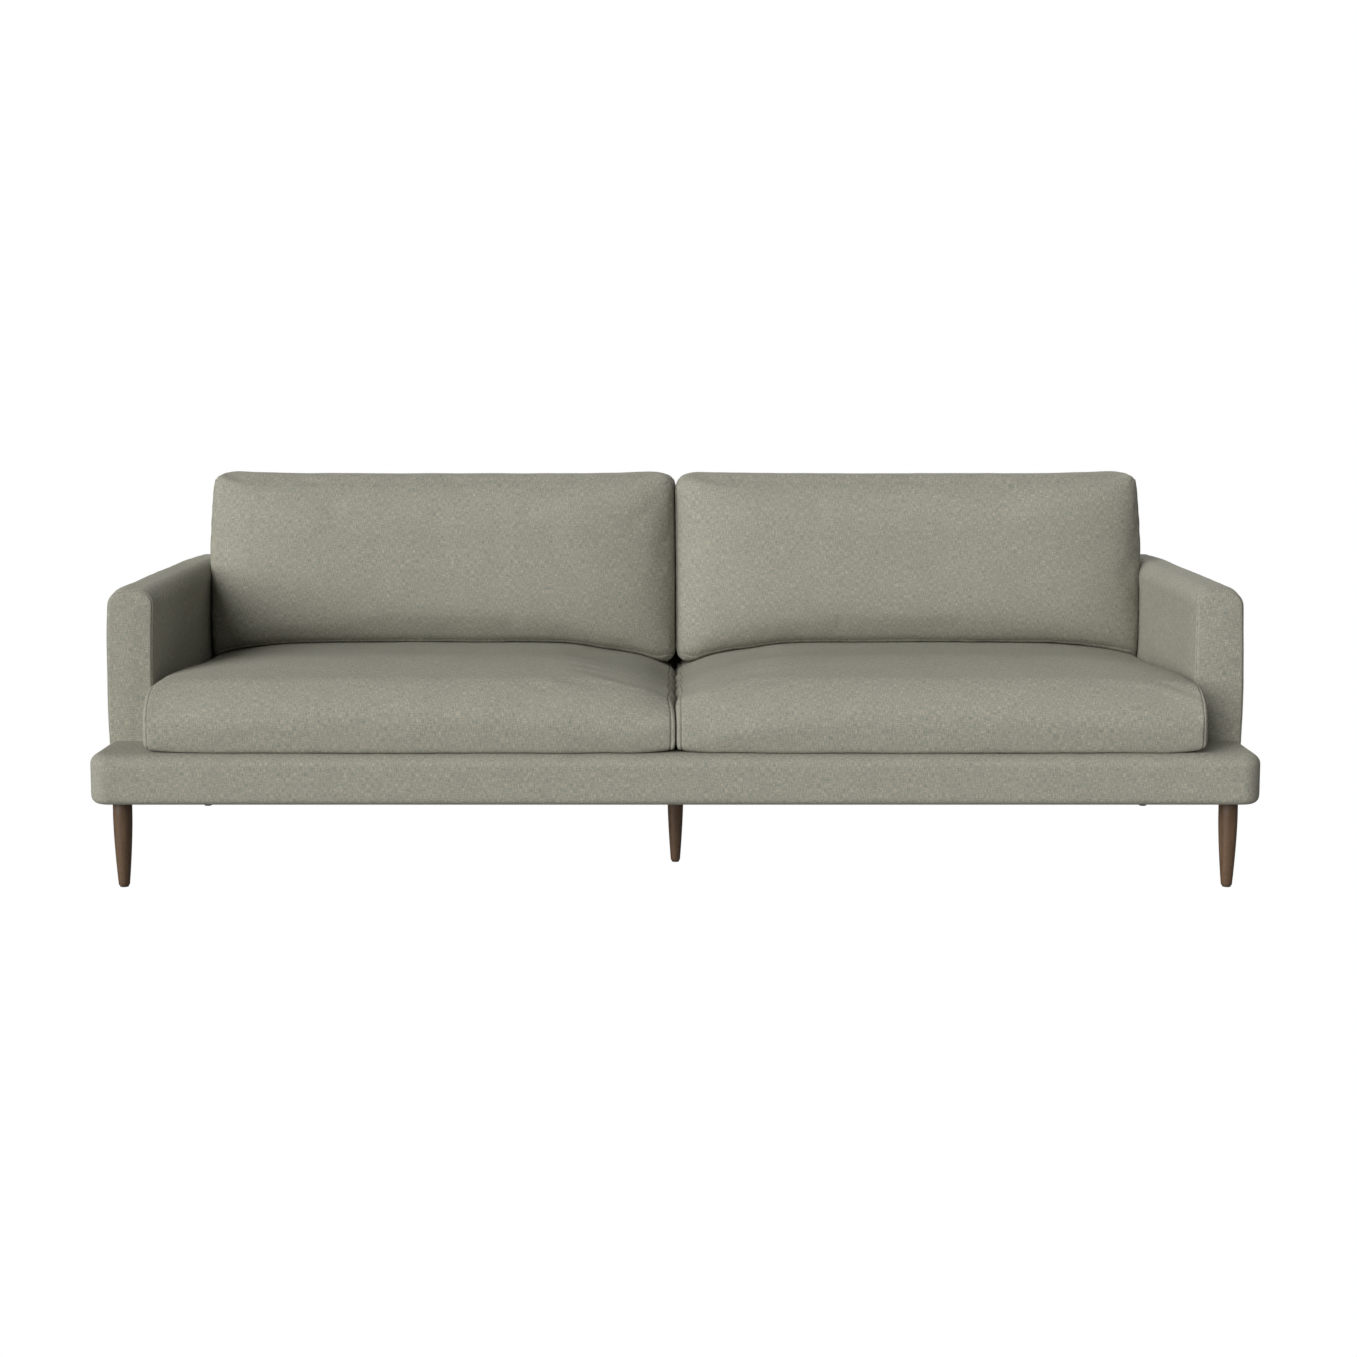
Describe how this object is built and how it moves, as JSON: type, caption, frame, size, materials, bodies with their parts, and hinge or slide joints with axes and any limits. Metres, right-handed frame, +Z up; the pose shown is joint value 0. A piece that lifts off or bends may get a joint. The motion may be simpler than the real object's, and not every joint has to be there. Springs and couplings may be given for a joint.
{
  "type": "sofa with wooden legs",
  "caption": "Low sofa with loose seat and back cushions, slim square arms and a low back on a padded platform that runs out past the arms, on turned tapered wooden legs.",
  "frame": {"origin": "on the floor, under the middle of the platform's footprint", "axes": "+X to the right as seen from the front, +Y from the front to the back, +Z up"},
  "size_m": [2.32, 0.94, 0.792],
  "materials": {
    "upholstery": "grey-beige woven fabric with flecks of lighter and darker yarn",
    "foam": null,
    "timber": "sawn softwood",
    "walnut": "dark oiled wood, grain along the leg",
    "webbing": "elastic upholstery webbing",
    "dust_cloth": "black non-woven lining",
    "steel": "zinc-plated steel",
    "felt": "brown felt glide"
  },
  "bodies": {
    "frame": {"front_left_leg": "walnut", "front_left_glide": "felt", "front_left_leg_plate": "steel", "front_left_leg_stud": "steel", "front_right_leg": "walnut", "front_right_glide": "felt", "front_right_leg_plate": "steel", "front_right_leg_stud": "steel", "rear_left_leg": "walnut", "rear_left_glide": "felt", "rear_left_leg_plate": "steel", "rear_left_leg_stud": "steel", "rear_right_leg": "walnut", "rear_right_glide": "felt", "rear_right_leg_plate": "steel", "rear_right_leg_stud": "steel", "centre_leg": "walnut", "centre_glide": "felt", "centre_leg_plate": "steel", "centre_leg_stud": "steel", "base_front_rail": "timber", "base_rear_rail": "timber", "base_left_rail": "timber", "base_centre_rail": "timber", "base_right_rail": "timber", "webbing_strap_1": "webbing", "webbing_strap_2": "webbing", "webbing_strap_3": "webbing", "webbing_strap_4": "webbing", "webbing_strap_5": "webbing", "webbing_strap_6": "webbing", "base_cover": "upholstery", "dust_cover": "dust_cloth", "left_arm_cover": "upholstery", "left_arm_bottom_rail": "timber", "left_arm_top_rail": "timber", "left_arm_front_post": "timber", "left_arm_rear_post": "timber", "left_arm_front_bolt": "steel", "left_arm_rear_bolt": "steel", "right_arm_cover": "upholstery", "right_arm_bottom_rail": "timber", "right_arm_top_rail": "timber", "right_arm_front_post": "timber", "right_arm_rear_post": "timber", "right_arm_front_bolt": "steel", "right_arm_rear_bolt": "steel", "back_cover": "upholstery", "back_bottom_rail": "timber", "back_top_rail": "timber", "back_left_post": "timber", "back_right_post": "timber"},
    "left_seat_cushion": {"left_seat_cushion_core": "foam", "left_seat_cushion_cover": "upholstery"},
    "left_back_cushion": {"left_back_cushion_core": "foam", "left_back_cushion_cover": "upholstery"},
    "right_seat_cushion": {"right_seat_cushion_core": "foam", "right_seat_cushion_cover": "upholstery"},
    "right_back_cushion": {"right_back_cushion_core": "foam", "right_back_cushion_cover": "upholstery"}
  },
  "joints": [
    {"name": "left_seat_lift", "type": "slide", "parent": "frame", "child": "left_seat_cushion", "axis": [0, 0, 1], "range_m": [0, 0.35]},
    {"name": "left_back_lift", "type": "slide", "parent": "left_seat_cushion", "child": "left_back_cushion", "axis": [0, 0, 1], "range_m": [0, 0.35]},
    {"name": "right_seat_lift", "type": "slide", "parent": "frame", "child": "right_seat_cushion", "axis": [0, 0, 1], "range_m": [0, 0.35]},
    {"name": "right_back_lift", "type": "slide", "parent": "right_seat_cushion", "child": "right_back_cushion", "axis": [0, 0, 1], "range_m": [0, 0.35]}
  ]
}
